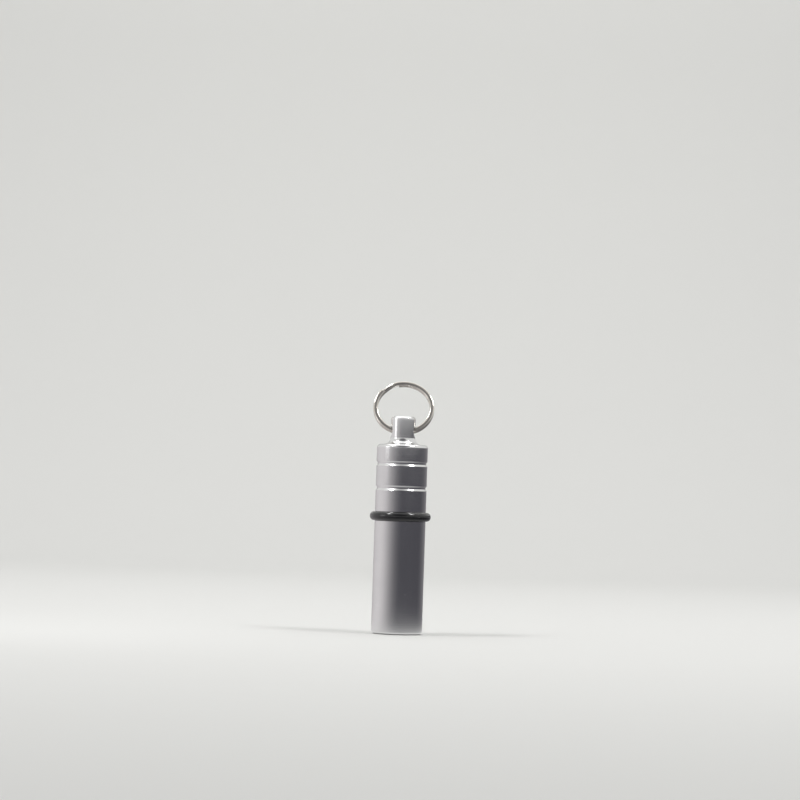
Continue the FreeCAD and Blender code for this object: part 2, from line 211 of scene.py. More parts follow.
class PILLFOB_PG_stage(bpy.types.PropertyGroup):
    """Floor, backdrop, walls, card and camera."""

    floor_reach: length("Floor reach", "Radius of the floor", 2500 * MM)
    sweep_start: length("Sweep start", "Where the floor starts to rise behind the fob", 330 * MM)
    sweep_radius: length("Sweep radius", "Radius of that rise", 200 * MM)
    sweep_width: length("Sweep width", "Half the width of the backdrop", 300 * MM)
    sweep_height: length("Sweep height", "Height of the backdrop", 700 * MM)
    floor: colour("Floor", "Pale floor and backdrop", "DDDDDB")
    walls: colour("Walls", "Light from the pale walls all round", "CACAC9")
    walls_seen: colour("Walls seen", "Pale walls as they are seen, also as a reflection", "EFEFED")
    dim: colour("Dim side", "The unlit part of the room, seen only as a reflection", "6E6D70")
    dim_aim: direction("Dim aim", "From the fob to the middle of the unlit part", (0.0, -0.77, 0.64))
    dim_inner: angle("Dim inner", "Angle from its middle at which the unlit part starts to fade", 16)
    dim_outer: angle("Dim outer", "Angle from its middle at which it has faded", 34)
    card_radius: length("Card radius", "Distance of the card's wall from the fob", 110 * MM)
    card_height: length("Card height", "Height of the card's wall", 44 * MM)
    card_foot: length("Card foot", "Radius at which the card starts on the floor", 4.6 * MM)
    card_fade: bpy.props.FloatProperty(
        name="Card fade", description="How fast the card's pale foot fades outwards",
        default=4.5, min=1.0,
    )
    # Painted reflections: the card glows and is seen only in reflections, pale at the fob's foot where the
    # floor's shadow would show, light on the left and dark on the right
    painted_pale_reflection: colour("Card pale", "The card at the fob's foot", "E8E8E6")
    painted_dark_reflection: colour("Card dark", "The card's dark side, on the right", "525157")
    painted_light_reflection: colour("Card light", "The card's light side, on the left", "E6E2E3")
    camera: place("Camera", "Where the camera stands", (0.0, -485.5 * MM, 27 * MM))
    focal_pixels: bpy.props.FloatProperty(
        name="Focal length", description="Focal length in pixels of the picture", default=2600.0,
        subtype="PIXEL",
    )
    pitch: angle("Pitch", "Camera looking up from level", 1.955)
    yaw: angle("Yaw", "Camera turned to the right", -0.09)
    roll: angle("Roll", "Camera turned about its line of sight", 1.89)


class PILLFOB_PG_settings(bpy.types.PropertyGroup):
    """Everything that can be set on the fob."""

    thread: bpy.props.PointerProperty(type=PILLFOB_PG_thread)
    vial: bpy.props.PointerProperty(type=PILLFOB_PG_vial)
    cap: bpy.props.PointerProperty(type=PILLFOB_PG_cap)
    seal: bpy.props.PointerProperty(type=PILLFOB_PG_seal)
    ring: bpy.props.PointerProperty(type=PILLFOB_PG_ring)
    finish: bpy.props.PointerProperty(type=PILLFOB_PG_finish)
    stage: bpy.props.PointerProperty(type=PILLFOB_PG_stage)


# Modelling steps

TURN_STEPS = 144
THREAD_STEPS = 96
EYE_STEPS = 72
SECTION_STEPS = 40
CORNER_SEGMENTS = 3
EDGE_SEGMENTS = 4
FILLET_SEGMENTS = 10
MERGE = 0.0005 * MM
SMOOTH_ANGLE = math.radians(32)


def start_piece(name):
    """One point at the origin, in edit mode, as the start of a drawn line."""
    bpy.ops.object.select_all(action="DESELECT")
    bpy.ops.mesh.primitive_plane_add(size=MM, location=(0, 0, 0))
    piece = bpy.context.object
    piece.name = name
    piece.data.name = name
    bpy.ops.object.mode_set(mode="EDIT")
    bpy.ops.mesh.select_mode(type="VERT")
    bpy.ops.mesh.merge(type="CENTER")
    return piece


def draw_line(name, points):
    """A line through (radius, height) points in the XZ plane, drawn by extruding a point."""
    piece = start_piece(name)
    before = (0.0, 0.0)
    for number, point in enumerate(points):
        move = (point[0] - before[0], 0, point[1] - before[1])
        if number:
            bpy.ops.mesh.extrude_vertices_move(TRANSFORM_OT_translate={"value": move})
        else:
            bpy.ops.transform.translate(value=move)
        before = point
    bpy.ops.object.mode_set(mode="OBJECT")
    return piece


def pick(piece, test):
    """Into edit mode with the points that pass a test selected."""
    bpy.ops.object.mode_set(mode="EDIT")
    bpy.ops.mesh.select_mode(type="VERT")
    bpy.ops.mesh.select_all(action="DESELECT")
    bpy.ops.object.mode_set(mode="OBJECT")
    found = 0
    for point in piece.data.vertices:
        point.select = test(point.co)
        found += point.select
    if not found:
        raise RuntimeError(f"{piece.name}: no point passes the test")
    bpy.ops.object.mode_set(mode="EDIT")


def round_corner(piece, corner, reach, segments):
    """Round one corner of a drawn line, from a distance before it to the same distance after it."""
    spot = Vector((corner[0], 0, corner[1]))
    pick(piece, lambda point: (point - spot).length < MERGE)
    bpy.ops.mesh.bevel(affect="VERTICES", offset=reach, segments=segments, profile=0.5)
    bpy.ops.object.mode_set(mode="OBJECT")


def turn_line(piece):
    """Spin a drawn line about the upright axis into a closed turned form."""
    bpy.ops.object.mode_set(mode="EDIT")
    bpy.ops.mesh.select_all(action="SELECT")
    bpy.ops.mesh.spin(steps=TURN_STEPS, angle=math.tau, center=(0, 0, 0), axis=(0, 0, 1))
    bpy.ops.mesh.select_all(action="SELECT")
    bpy.ops.mesh.remove_doubles(threshold=MERGE)
    bpy.ops.mesh.normals_make_consistent(inside=False)
    bpy.ops.object.mode_set(mode="OBJECT")


def apply_modifier(piece, kind, **settings):
    """Add a modifier to a piece and apply it at once."""
    bpy.ops.object.select_all(action="DESELECT")
    piece.select_set(True)
    bpy.context.view_layer.objects.active = piece
    modifier = piece.modifiers.new(kind.lower(), kind)
    for name, value in settings.items():
        setattr(modifier, name, value)
    bpy.ops.object.modifier_apply(modifier=modifier.name)


def cut(piece, cutter):
    """Take one closed form away from another."""
    apply_modifier(piece, "BOOLEAN", object=cutter, operation="DIFFERENCE", solver="EXACT")
    bpy.data.objects.remove(cutter)


def thread_section(near, near_half, far, far_half, height):
    """The corners of a thread cutter's section: two radii, and half its height at each."""
    return (
        (near, height - near_half), (far, height - far_half),
        (far, height + far_half), (near, height + near_half),
    )


def thread_cutter(name, form, pitch, turns):
    """A closed section, wound up the upright axis as the cutter of a right-hand thread."""
    cutter = draw_line(name, form)
    bpy.ops.object.mode_set(mode="EDIT")
    bpy.ops.mesh.select_all(action="SELECT")
    bpy.ops.mesh.edge_face_add()
    bpy.ops.mesh.delete(type="ONLY_FACE")
    bpy.ops.object.mode_set(mode="OBJECT")
    apply_modifier(
        cutter, "SCREW", axis="Z", angle=math.tau, screw_offset=pitch, iterations=turns,
        steps=THREAD_STEPS, render_steps=THREAD_STEPS,
    )
    bpy.ops.object.mode_set(mode="EDIT")
    bpy.ops.mesh.select_all(action="SELECT")
    bpy.ops.mesh.remove_doubles(threshold=MERGE)
    bpy.ops.mesh.fill_holes(sides=len(form))
    bpy.ops.mesh.select_all(action="SELECT")
    bpy.ops.mesh.normals_make_consistent(inside=False)
    bpy.ops.object.mode_set(mode="OBJECT")
    return cutter


def eased(share):
    """A share held between 0 and 1 and eased at both ends."""
    share = min(max(share, 0.0), 1.0)
    return share**2 * (3 - 2 * share)


def finish_piece(piece, material, node, body):
    """Smooth shading with flat faces kept flat, the finish, and the place in the frame."""
    bpy.ops.object.select_all(action="DESELECT")
    piece.select_set(True)
    bpy.context.view_layer.objects.active = piece
    bpy.ops.object.shade_smooth_by_angle(angle=SMOOTH_ANGLE)
    apply_modifier(piece, "WEIGHTED_NORMAL", mode="FACE_AREA_WITH_ANGLE", keep_sharp=True)
    piece.data.materials.clear()
    piece.data.materials.append(material)
    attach(piece, body)
    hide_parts(node)


# Finishes

# Most values of a noise lie between the first and the last of these
NOISE_LOW, NOISE_MIDDLE, NOISE_HIGH = 0.3, 0.5, 0.7


def add_node(tree, kind, inputs, **settings):
    """Add a node with its settings, and fill or link its inputs."""
    made = tree.nodes.new(kind)
    for name, value in settings.items():
        setattr(made, name, value)
    for socket, value in inputs.items():
        if isinstance(value, bpy.types.NodeSocket):
            tree.links.new(value, made.inputs[socket])
        else:
            made.inputs[socket].default_value = value
    return made


def start_material(name):
    """A new material with an empty node tree."""
    material = bpy.data.materials.new(name)
    material.use_nodes = True
    material.node_tree.nodes.clear()
    return material, material.node_tree


def end_material(tree, shader):
    """Join a shader to its material's output."""
    add_node(tree, "ShaderNodeOutputMaterial", {"Surface": shader.outputs["BSDF"]})


def turned_aluminium(name, settings):
    """Aluminium bar, turned and buffed: a mirror dulled to satin, with fine rings from the tool,
    a haze from handling, hairline scratches and a few pinhead nicks that catch the light."""
    # Real feed lines are about 0.05 mm apart, too fine to show here, so they are drawn coarser
    ring_spacing, ring_depth = 0.12 * MM, 0.003 * MM
    patch = 5 * MM
    smooth, dull = 0.14, 0.2
    scratch_width, scratch_length = 0.8 * MM, 30 * MM
    scratch_turn = (math.radians(20), math.radians(-25), 0.0)
    scratch_edge, scratch_dulling = 0.008, 0.08
    nick_spacing, nick_radius = 2.0 * MM, 0.1 * MM
    # How deep scratches and nicks are, in ring depths
    scratch_depth, nick_depth = 0.6, 8.0
    material, tree = start_material(name)
    coordinates = add_node(tree, "ShaderNodeTexCoord", {}).outputs["Object"]
    axes = add_node(tree, "ShaderNodeSeparateXYZ", {"Vector": coordinates}).outputs
    flat = add_node(tree, "ShaderNodeCombineXYZ", {"X": axes["X"], "Y": axes["Y"]})
    radius = add_node(tree, "ShaderNodeVectorMath", {0: flat.outputs[0]}, operation="LENGTH")
    along = add_node(
        tree, "ShaderNodeMath", {0: radius.outputs["Value"], 1: axes["Z"]}, operation="ADD",
    )
    rings = add_node(
        tree, "ShaderNodeTexNoise",
        {"W": along.outputs[0], "Scale": 1 / ring_spacing, "Detail": 3.0, "Roughness": 0.6},
        noise_dimensions="1D",
    )
    haze = add_node(
        tree, "ShaderNodeTexNoise",
        {"Vector": coordinates, "Scale": 1 / patch, "Detail": 4.0, "Roughness": 0.55},
    )
    # The lines where a stretched noise passes its middle value run like hairline scratches
    stretched = add_node(tree, "ShaderNodeMapping", {
        "Vector": coordinates, "Rotation": scratch_turn,
        "Scale": (1 / scratch_width, 1 / scratch_width, 1 / scratch_length),
    })
    field = add_node(
        tree, "ShaderNodeTexNoise",
        {"Vector": stretched.outputs[0], "Scale": 1.0, "Detail": 0.0},
    )
    away = add_node(tree, "ShaderNodeMath", {0: field.outputs["Fac"], 1: NOISE_MIDDLE}, operation="SUBTRACT")
    away = add_node(tree, "ShaderNodeMath", {0: away.outputs[0]}, operation="ABSOLUTE")
    hairlines = add_node(
        tree, "ShaderNodeMapRange",
        {"Value": away.outputs[0], "From Min": 0.0, "From Max": scratch_edge,
         "To Min": 1.0, "To Max": 0.0},
    )
    cells = add_node(
        tree, "ShaderNodeTexVoronoi",
        {"Vector": coordinates, "Scale": 1 / nick_spacing, "Randomness": 1.0},
    )
    pits = add_node(
        tree, "ShaderNodeMapRange",
        {"Value": cells.outputs["Distance"], "From Min": 0.0, "From Max": nick_radius / nick_spacing,
         "To Min": 1.0, "To Max": 0.0},
    )
    mixed = add_node(
        tree, "ShaderNodeMix",
        {"Factor": haze.outputs["Fac"], 6: settings.metal, 7: settings.metal_dull},
        data_type="RGBA",
    )
    rough = add_node(
        tree, "ShaderNodeMapRange",
        {"Value": haze.outputs["Fac"], "From Min": NOISE_LOW, "From Max": NOISE_HIGH,
         "To Min": smooth, "To Max": dull},
    )
    rough = add_node(
        tree, "ShaderNodeMath", {0: hairlines.outputs[0], 1: scratch_dulling, 2: rough.outputs[0]},
        operation="MULTIPLY_ADD",
    )
    height = add_node(
        tree, "ShaderNodeMath", {0: hairlines.outputs[0], 1: -scratch_depth, 2: rings.outputs["Fac"]},
        operation="MULTIPLY_ADD",
    )
    height = add_node(
        tree, "ShaderNodeMath", {0: pits.outputs[0], 1: -nick_depth, 2: height.outputs[0]},
        operation="MULTIPLY_ADD",
    )
    bump = add_node(
        tree, "ShaderNodeBump",
        {"Height": height.outputs[0], "Strength": 1.0, "Distance": ring_depth},
    )
    shader = add_node(tree, "ShaderNodeBsdfPrincipled", {
        "Base Color": mixed.outputs[2], "Metallic": 1.0, "Roughness": rough.outputs[0],
        "Normal": bump.outputs[0],
    })
    end_material(tree, shader)
    return material


def moulded_rubber(name, settings):
    """Moulded black nitrile rubber: a soft broad gloss, with a faint grey bloom and fine grit."""
    grit, grit_depth = 0.15 * MM, 0.02 * MM
    patch = 1.5 * MM
    shiny, dull = 0.06, 0.12
    material, tree = start_material(name)
    coordinates = add_node(tree, "ShaderNodeTexCoord", {}).outputs["Object"]
    bloom = add_node(
        tree, "ShaderNodeTexNoise",
        {"Vector": coordinates, "Scale": 1 / patch, "Detail": 5.0, "Roughness": 0.6},
    )
    grain = add_node(
        tree, "ShaderNodeTexNoise",
        {"Vector": coordinates, "Scale": 1 / grit, "Detail": 3.0, "Roughness": 0.6},
    )
    mixed = add_node(
        tree, "ShaderNodeMix",
        {"Factor": bloom.outputs["Fac"], 6: settings.rubber, 7: settings.rubber_bloom},
        data_type="RGBA",
    )
    rough = add_node(
        tree, "ShaderNodeMapRange",
        {"Value": bloom.outputs["Fac"], "From Min": NOISE_LOW, "From Max": NOISE_HIGH,
         "To Min": shiny, "To Max": dull},
    )
    bump = add_node(
        tree, "ShaderNodeBump",
        {"Height": grain.outputs["Fac"], "Strength": 0.1, "Distance": grit_depth},
    )
    shader = add_node(tree, "ShaderNodeBsdfPrincipled", {
        "Base Color": mixed.outputs[2], "Roughness": rough.outputs[0], "IOR": 1.52,
        "Normal": bump.outputs[0],
    })
    end_material(tree, shader)
    return material


def plated_wire(name, settings, ring):
    """Bright nickel on drawn spring wire: a warm mirror with fine lines along the wire, duller in
    the patches where it is rubbed."""
    line, line_depth = 0.09 * MM, 0.02 * MM
    patch = 2 * MM
    bright, dull = 0.1, 0.2
    material, tree = start_material(name)
    coordinates = add_node(tree, "ShaderNodeTexCoord", {}).outputs["Object"]
    own = add_node(
        tree, "ShaderNodeMapping",
        {"Vector": coordinates, "Location": ring.centre, "Rotation": (-ring.lean, 0, 0)},
        vector_type="TEXTURE",
    )
    axes = add_node(tree, "ShaderNodeSeparateXYZ", {"Vector": own.outputs[0]}).outputs
    flat = add_node(tree, "ShaderNodeCombineXYZ", {"X": axes["X"], "Z": axes["Z"]})
    radius = add_node(tree, "ShaderNodeVectorMath", {0: flat.outputs[0]}, operation="LENGTH")
    across = add_node(tree, "ShaderNodeCombineXYZ", {"X": radius.outputs["Value"], "Y": axes["Y"]})
    lines = add_node(
        tree, "ShaderNodeTexNoise",
        {"Vector": across.outputs[0], "Scale": 1 / line, "Detail": 2.0, "Roughness": 0.5},
        noise_dimensions="2D",
    )
    rubbed = add_node(
        tree, "ShaderNodeTexNoise",
        {"Vector": coordinates, "Scale": 1 / patch, "Detail": 4.0, "Roughness": 0.6},
    )
    mixed = add_node(
        tree, "ShaderNodeMix",
        {"Factor": rubbed.outputs["Fac"], 6: settings.nickel, 7: settings.nickel_dull},
        data_type="RGBA",
    )
    rough = add_node(
        tree, "ShaderNodeMapRange",
        {"Value": rubbed.outputs["Fac"], "From Min": NOISE_LOW, "From Max": NOISE_HIGH,
         "To Min": bright, "To Max": dull},
    )
    bump = add_node(
        tree, "ShaderNodeBump",
        {"Height": lines.outputs["Fac"], "Strength": 0.08, "Distance": line_depth},
    )
    shader = add_node(tree, "ShaderNodeBsdfPrincipled", {
        "Base Color": mixed.outputs[2], "Metallic": 1.0, "Roughness": rough.outputs[0],
        "Normal": bump.outputs[0],
    })
    end_material(tree, shader)
    return material


# Pieces

class PILLFOB_OT_turn_vial(bpy.types.Operator):
    """Turn the vial: its body, its seat, its threaded neck and its drilled bore"""

    bl_idname = "pill_fob.turn_vial"
    bl_label = "Turn Vial"

    def execute(self, context):
        fob = context.scene.pill_fob
        vial, thread = fob.vial, fob.thread
        undercut_top = vial.seat_top + vial.undercut_height
        root = vial.thread_radius - thread.depth
        base_in = (vial.radius - vial.base_edge, 0.0)
        base_out = (vial.radius, vial.base_edge)
        shoulder = (vial.radius, vial.shoulder)
        seat_end = (vial.seat_radius, vial.seat_top)
        mouth_out = (root, vial.neck_top)
        mouth_in = (vial.bore_radius + vial.mouth_edge, vial.neck_top)
        piece = draw_line("turned_vial", (
            (0.0, 0.0), base_in, base_out, shoulder, (vial.seat_radius, vial.shoulder), seat_end,
            (vial.undercut_radius, vial.seat_top),
            (vial.undercut_radius, undercut_top),
            (vial.thread_radius, undercut_top + thread.depth),
            (vial.thread_radius, vial.neck_top - thread.depth),
            mouth_out, mouth_in,
            (vial.bore_radius, vial.neck_top - vial.mouth_edge),
            (vial.bore_radius, vial.floor + vial.drill_point),
            (0.0, vial.floor),
        ))
        round_corner(piece, shoulder, vial.shoulder_edge, EDGE_SEGMENTS)
        for corner in (base_in, base_out, seat_end, mouth_out, mouth_in):
            round_corner(piece, corner, vial.broken_edge, CORNER_SEGMENTS)
        turn_line(piece)
        inner = (thread.pitch - thread.crest) / 2 - thread.depth * math.tan(thread.flank)
        outer = inner + (thread.depth + thread.over) * math.tan(thread.flank)
        start = vial.seat_top + vial.undercut_height / 2
        outside = vial.thread_radius + thread.over
        turns = math.ceil((vial.neck_top + thread.pitch - start) / thread.pitch)
        section = thread_section(root, inner, outside, outer, start)
        cut(piece, thread_cutter("neck_thread_cutter", section, thread.pitch, turns))
        metal = turned_aluminium("turned_aluminium_vial", fob.finish)
        finish_piece(piece, metal, "vial", "vial")
        return {"FINISHED"}


class PILLFOB_OT_turn_cap(bpy.types.Operator):
    """Turn the cap: its grooves, its post, its cross hole and its threaded bore"""

    bl_idname = "pill_fob.turn_cap"
    bl_label = "Turn Cap"
    groove_count = 2
    # The cap's thread starts this many turns below the neck's, half a pitch out of step with it
    thread_lead = 2.5
    # How far the cross hole's flared ends turn outwards
    flare = math.radians(75)

    def groove(self, cap, number):
        """The outline of one groove, from its lower lip to its upper lip."""
        middle = cap.top - cap.groove_first - number * cap.groove_spacing
        low, high = middle - cap.groove_width / 2, middle + cap.groove_width / 2
        bottom = cap.radius - cap.groove_depth
        return [
            (cap.radius, low - cap.groove_flank), (bottom, low),
            (bottom, high), (cap.radius, high + cap.groove_flank),
        ]

    def eye_cutter(self, cap):
        """A cylinder through the post whose ends flare where they pass its curved surface."""
        rings = 6
        reach = 2 * cap.post_radius
        bpy.ops.object.select_all(action="DESELECT")
        bpy.ops.mesh.primitive_cylinder_add(
            vertices=EYE_STEPS, radius=cap.eye_radius, depth=2 * reach, location=EYE_MIDDLE,
            rotation=(0, math.pi / 2, 0),
        )
        cutter = bpy.context.object
        bpy.ops.object.transform_apply(location=True, rotation=True, scale=True)
        bpy.ops.object.mode_set(mode="EDIT")
        bpy.ops.mesh.select_all(action="DESELECT")
        bpy.ops.object.mode_set(mode="OBJECT")
        for edge in cutter.data.edges:
            ends = [cutter.data.vertices[i].co.x for i in edge.vertices]
            edge.select = abs(ends[0] - ends[1]) > reach
        bpy.ops.object.mode_set(mode="EDIT")
        bpy.ops.mesh.select_mode(type="EDGE")
        bpy.ops.mesh.subdivide(number_cuts=2 * rings)
        bpy.ops.object.mode_set(mode="OBJECT")
        spacing = 2 * reach / (2 * rings + 1)
        for point in cutter.data.vertices:
            side = math.copysign(1, point.co.x)
            number = round(abs(point.co.x) / spacing - 0.5)
            turn = self.flare * min(number, rings - 1) / (rings - 1)
            grown = cap.eye_radius + cap.eye_edge * (1 - math.cos(turn))
            depth = cap.eye_edge * (1 - math.sin(turn))
            around = Vector((0, point.co.y, point.co.z - EYE_MIDDLE.z)).normalized() * grown
            surface = math.sqrt(cap.post_radius**2 - around.y**2)
            beyond = cap.post_radius if number == rings else 0.0
            point.co = EYE_MIDDLE + around + Vector((side * (surface - depth + beyond), 0, 0))
        return cutter

    def execute(self, context):
        fob = context.scene.pill_fob
        cap, thread = fob.cap, fob.thread
        thread_top = cap.relief_top - cap.relief_height
        bore = fob.vial.bore_radius
        rim_in = (cap.crest_radius + cap.mouth, cap.rim)
        rim_out = (cap.radius, cap.rim)
        grooves = []
        for number in reversed(range(self.groove_count)):
            grooves += self.groove(cap, number)
        edge = (cap.radius, cap.top)
        foot = (cap.post_radius, cap.top)
        post_out = (cap.post_radius, cap.post_top - cap.post_edge)
        post_in = (cap.post_radius - cap.post_edge, cap.post_top)
        # A ring of points under the chamfer keeps the shading of the post's wall level up to it
        held = (cap.post_radius, cap.post_top - 2 * cap.post_edge)
        piece = draw_line("turned_cap", (
            rim_in, rim_out, *grooves, edge, foot, held, post_out, post_in,
            (0.0, cap.post_top), (0.0, cap.bore_tip),
            (bore, cap.bore_tip - fob.vial.drill_point),
            (bore, cap.relief_top),
            (cap.relief_radius, cap.relief_top),
            (cap.relief_radius, thread_top),
            (cap.crest_radius, thread_top),
            (cap.crest_radius, cap.rim + cap.mouth),
            rim_in,
        ))
        round_corner(piece, rim_out, cap.rim_edge, EDGE_SEGMENTS)
        round_corner(piece, edge, cap.top_edge, FILLET_SEGMENTS)
        round_corner(piece, foot, cap.post_foot, FILLET_SEGMENTS)
        for corner in (post_out, post_in):
            round_corner(piece, corner, cap.broken_edge, CORNER_SEGMENTS)
        for corner in grooves:
            round_corner(piece, corner, cap.groove_edge, EDGE_SEGMENTS)
        turn_line(piece)
        cut(piece, self.eye_cutter(cap))
        neck_start = fob.vial.seat_top + fob.vial.undercut_height / 2
        start = neck_start - self.thread_lead * thread.pitch
        outside = cap.crest_radius + thread.depth
        inside = cap.crest_radius - thread.over
        outer = thread.crest / 2 + thread.play - thread.play * math.tan(thread.flank)
        inner = outer + (thread.depth + thread.over) * math.tan(thread.flank)
        turns = round((thread_top + cap.relief_height / 2 - start) / thread.pitch)
        section = thread_section(inside, inner, outside, outer, start)
        cut(piece, thread_cutter("cap_thread_cutter", section, thread.pitch, turns))
        metal = turned_aluminium("turned_aluminium_cap", fob.finish)
        finish_piece(piece, metal, "cap", "cap")
        return {"FINISHED"}


class PILLFOB_OT_mould_seal(bpy.types.Operator):
    """Mould the rubber seal ring, with the fine line that its mould leaves"""

    bl_idname = "pill_fob.mould_seal"
    bl_label = "Mould Seal Ring"

    def execute(self, context):
        fob = context.scene.pill_fob
        seal = fob.seal
        across = seal.width / 2
        outside = seal.outside - seal.flash_height
        middle = outside - across
        bpy.ops.object.select_all(action="DESELECT")
        bpy.ops.mesh.primitive_torus_add(
            major_segments=TURN_STEPS, minor_segments=SECTION_STEPS,
            major_radius=middle, minor_radius=across, location=(0, 0, seal.middle),
        )
        piece = context.object
        piece.name = "rubber_seal"
        piece.data.name = "rubber_seal"
        bpy.ops.object.transform_apply(location=True, rotation=True, scale=True)
        bpy.ops.object.mode_set(mode="EDIT")
        bpy.ops.mesh.select_all(action="SELECT")
        squeeze = seal.height / seal.width
        bpy.ops.transform.resize(value=(1, 1, squeeze), center_override=(0, 0, seal.middle))
        bpy.ops.object.mode_set(mode="OBJECT")
        pick(piece, lambda point: point.xy.length > outside - MERGE)
        bpy.ops.mesh.bevel(
            affect="EDGES", offset=seal.flash_width / 2, segments=EDGE_SEGMENTS, profile=0.5,
        )
        bpy.ops.object.mode_set(mode="OBJECT")
        pick(piece, lambda point: point.xy.length > middle and abs(point.z - seal.middle) < MERGE)
        grow = seal.outside / outside
        bpy.ops.transform.resize(value=(grow, grow, 1), center_override=(0, 0, seal.middle))
        bpy.ops.object.mode_set(mode="OBJECT")
        rubber = moulded_rubber("moulded_nitrile_rubber", fob.finish)
        finish_piece(piece, rubber, "seal_ring", "seal")
        return {"FINISHED"}


class PILLFOB_OT_wind_ring(bpy.types.Operator):
    """Wind the split ring from flat wire: two turns, with the step from one to the other"""

    bl_idname = "pill_fob.wind_ring"
    bl_label = "Wind Split Ring"
    step = math.radians(3)

    def execute(self, context):
        fob = context.scene.pill_fob
        ring = fob.ring
        middle = Vector(ring.centre)
        rise = ring.wire_thickness + ring.turn_gap
        first = ring.step_place + ring.step_arc / 2
        flat = round((math.tau - ring.step_arc) / self.step)
        bend = round(ring.step_arc / self.step)
        # The wire's section, upright in the ring's own plane before it leans
        bpy.ops.object.select_all(action="DESELECT")
        bpy.ops.mesh.primitive_plane_add(size=1.0, location=(0, 0, 0))
        piece = context.object
        piece.name = "wound_ring"
        piece.data.name = "wound_ring"
        bpy.ops.object.mode_set(mode="EDIT")
        bpy.ops.mesh.select_mode(type="VERT")
        bpy.ops.mesh.select_all(action="SELECT")
        bpy.ops.transform.resize(value=(ring.wire_width, ring.wire_thickness, 1))
        bpy.ops.mesh.bevel(
            affect="VERTICES", offset=ring.wire_edge, segments=EDGE_SEGMENTS, profile=0.5,
        )
        bpy.ops.transform.translate(value=(middle.x + ring.radius, middle.y - rise / 2, middle.z))
        self.turn(first, middle)
        for number in range(flat + bend + flat):
            bpy.ops.mesh.extrude_region_move()
            climb = rise * (eased((number + 1 - flat) / bend) - eased((number - flat) / bend))
            if climb > 0:
                bpy.ops.transform.translate(value=(0, climb, 0))
            self.turn(self.step, middle)
        bpy.ops.mesh.select_all(action="SELECT")
        bpy.ops.mesh.remove_doubles(threshold=MERGE)
        bpy.ops.mesh.normals_make_consistent(inside=False)
        bpy.ops.object.mode_set(mode="OBJECT")
        last = first + (flat + bend + flat) * self.step
        for end, side in ((first, -1), (last, 1)):
            across = Vector((-math.sin(end), 0, math.cos(end)))
            outward = Vector((math.cos(end), 0, math.sin(end)))
            pick(piece, lambda point: (
                abs((point - middle).dot(across)) < MERGE
                and (point - middle).dot(outward) > 0
                and (point - middle).y * side > 0
            ))
            bpy.ops.mesh.bevel(affect="EDGES", offset=ring.end_edge, segments=2)
            bpy.ops.object.mode_set(mode="OBJECT")
        bpy.ops.object.mode_set(mode="EDIT")
        bpy.ops.mesh.select_all(action="SELECT")
        bpy.ops.transform.rotate(value=ring.lean, orient_axis="X", center_override=middle)
        bpy.ops.object.mode_set(mode="OBJECT")
        plate = plated_wire("nickel_plated_wire", fob.finish, ring)
        finish_piece(piece, plate, "split_ring", "key_ring")
        return {"FINISHED"}

    def turn(self, amount, middle):
        """Turn what is selected about the ring's axis, from +X towards the top."""
        bpy.ops.transform.rotate(value=amount, orient_axis="Y", center_override=middle)


